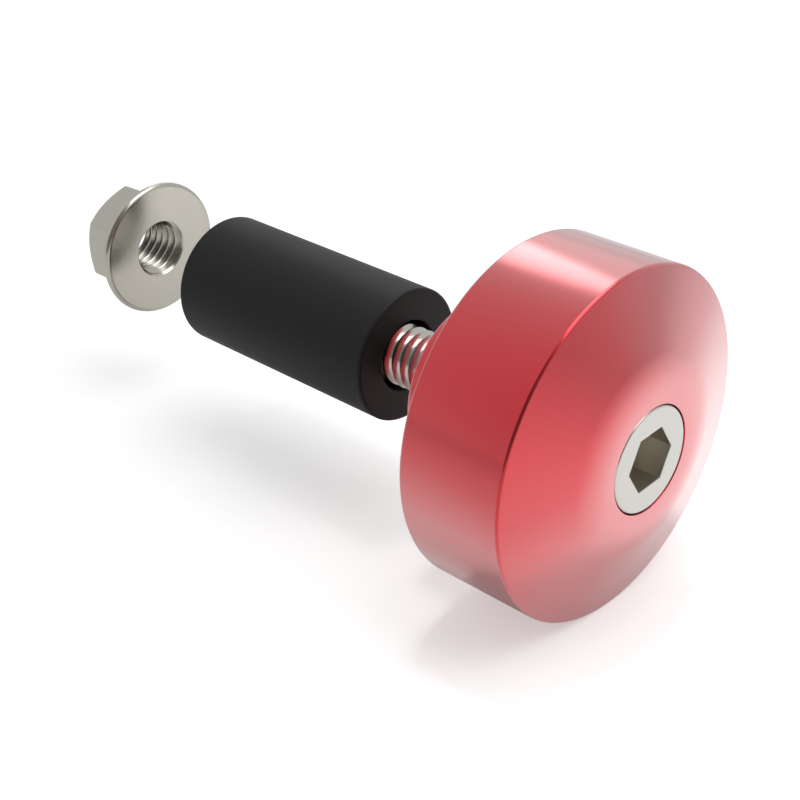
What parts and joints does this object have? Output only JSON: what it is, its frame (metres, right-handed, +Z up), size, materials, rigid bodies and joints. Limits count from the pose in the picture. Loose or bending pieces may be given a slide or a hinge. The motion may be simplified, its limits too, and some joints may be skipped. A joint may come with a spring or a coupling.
{
  "type": "motorcycle handlebar end weight with expander",
  "caption": "Round weight with a crowned front for the end of a handlebar, with a clamp screw, a rubber expander sleeve and a flange nut drawn out along its axis.",
  "frame": {"origin": "centre of the weight's back face, where it seats on the end of the handlebar", "axes": "+X along the handlebar axis, outwards through the crown and the screw's head; +Z up; +Y completes a right-handed frame"},
  "size_m": [0.0704, 0.0324, 0.0324],
  "materials": {
    "red_anodised": "turned and satin anodised red",
    "screw_steel": "bright satin steel",
    "black_rubber": "smooth moulded black rubber",
    "nut_steel": "warm satin nickel-plated steel"
  },
  "bodies": {
    "weight": {"bar_end_weight": "red_anodised"},
    "screw": {"clamp_screw": "screw_steel"},
    "sleeve": {"expander_sleeve": "black_rubber"},
    "nut": {"flange_nut": "nut_steel"}
  },
  "joints": [
    {"name": "screw_turn", "type": "hinge", "parent": "weight", "child": "screw", "pos_m": [0, 0, 0], "axis": [1, 0, 0], "continuous": true},
    {"name": "sleeve_slide", "type": "slide", "parent": "weight", "child": "sleeve", "axis": [1, 0, 0], "range_m": [-0.003, 0.007]},
    {"name": "nut_travel", "type": "slide", "parent": "sleeve", "child": "nut", "axis": [1, 0, 0], "range_m": [0, 0.011]}
  ]
}
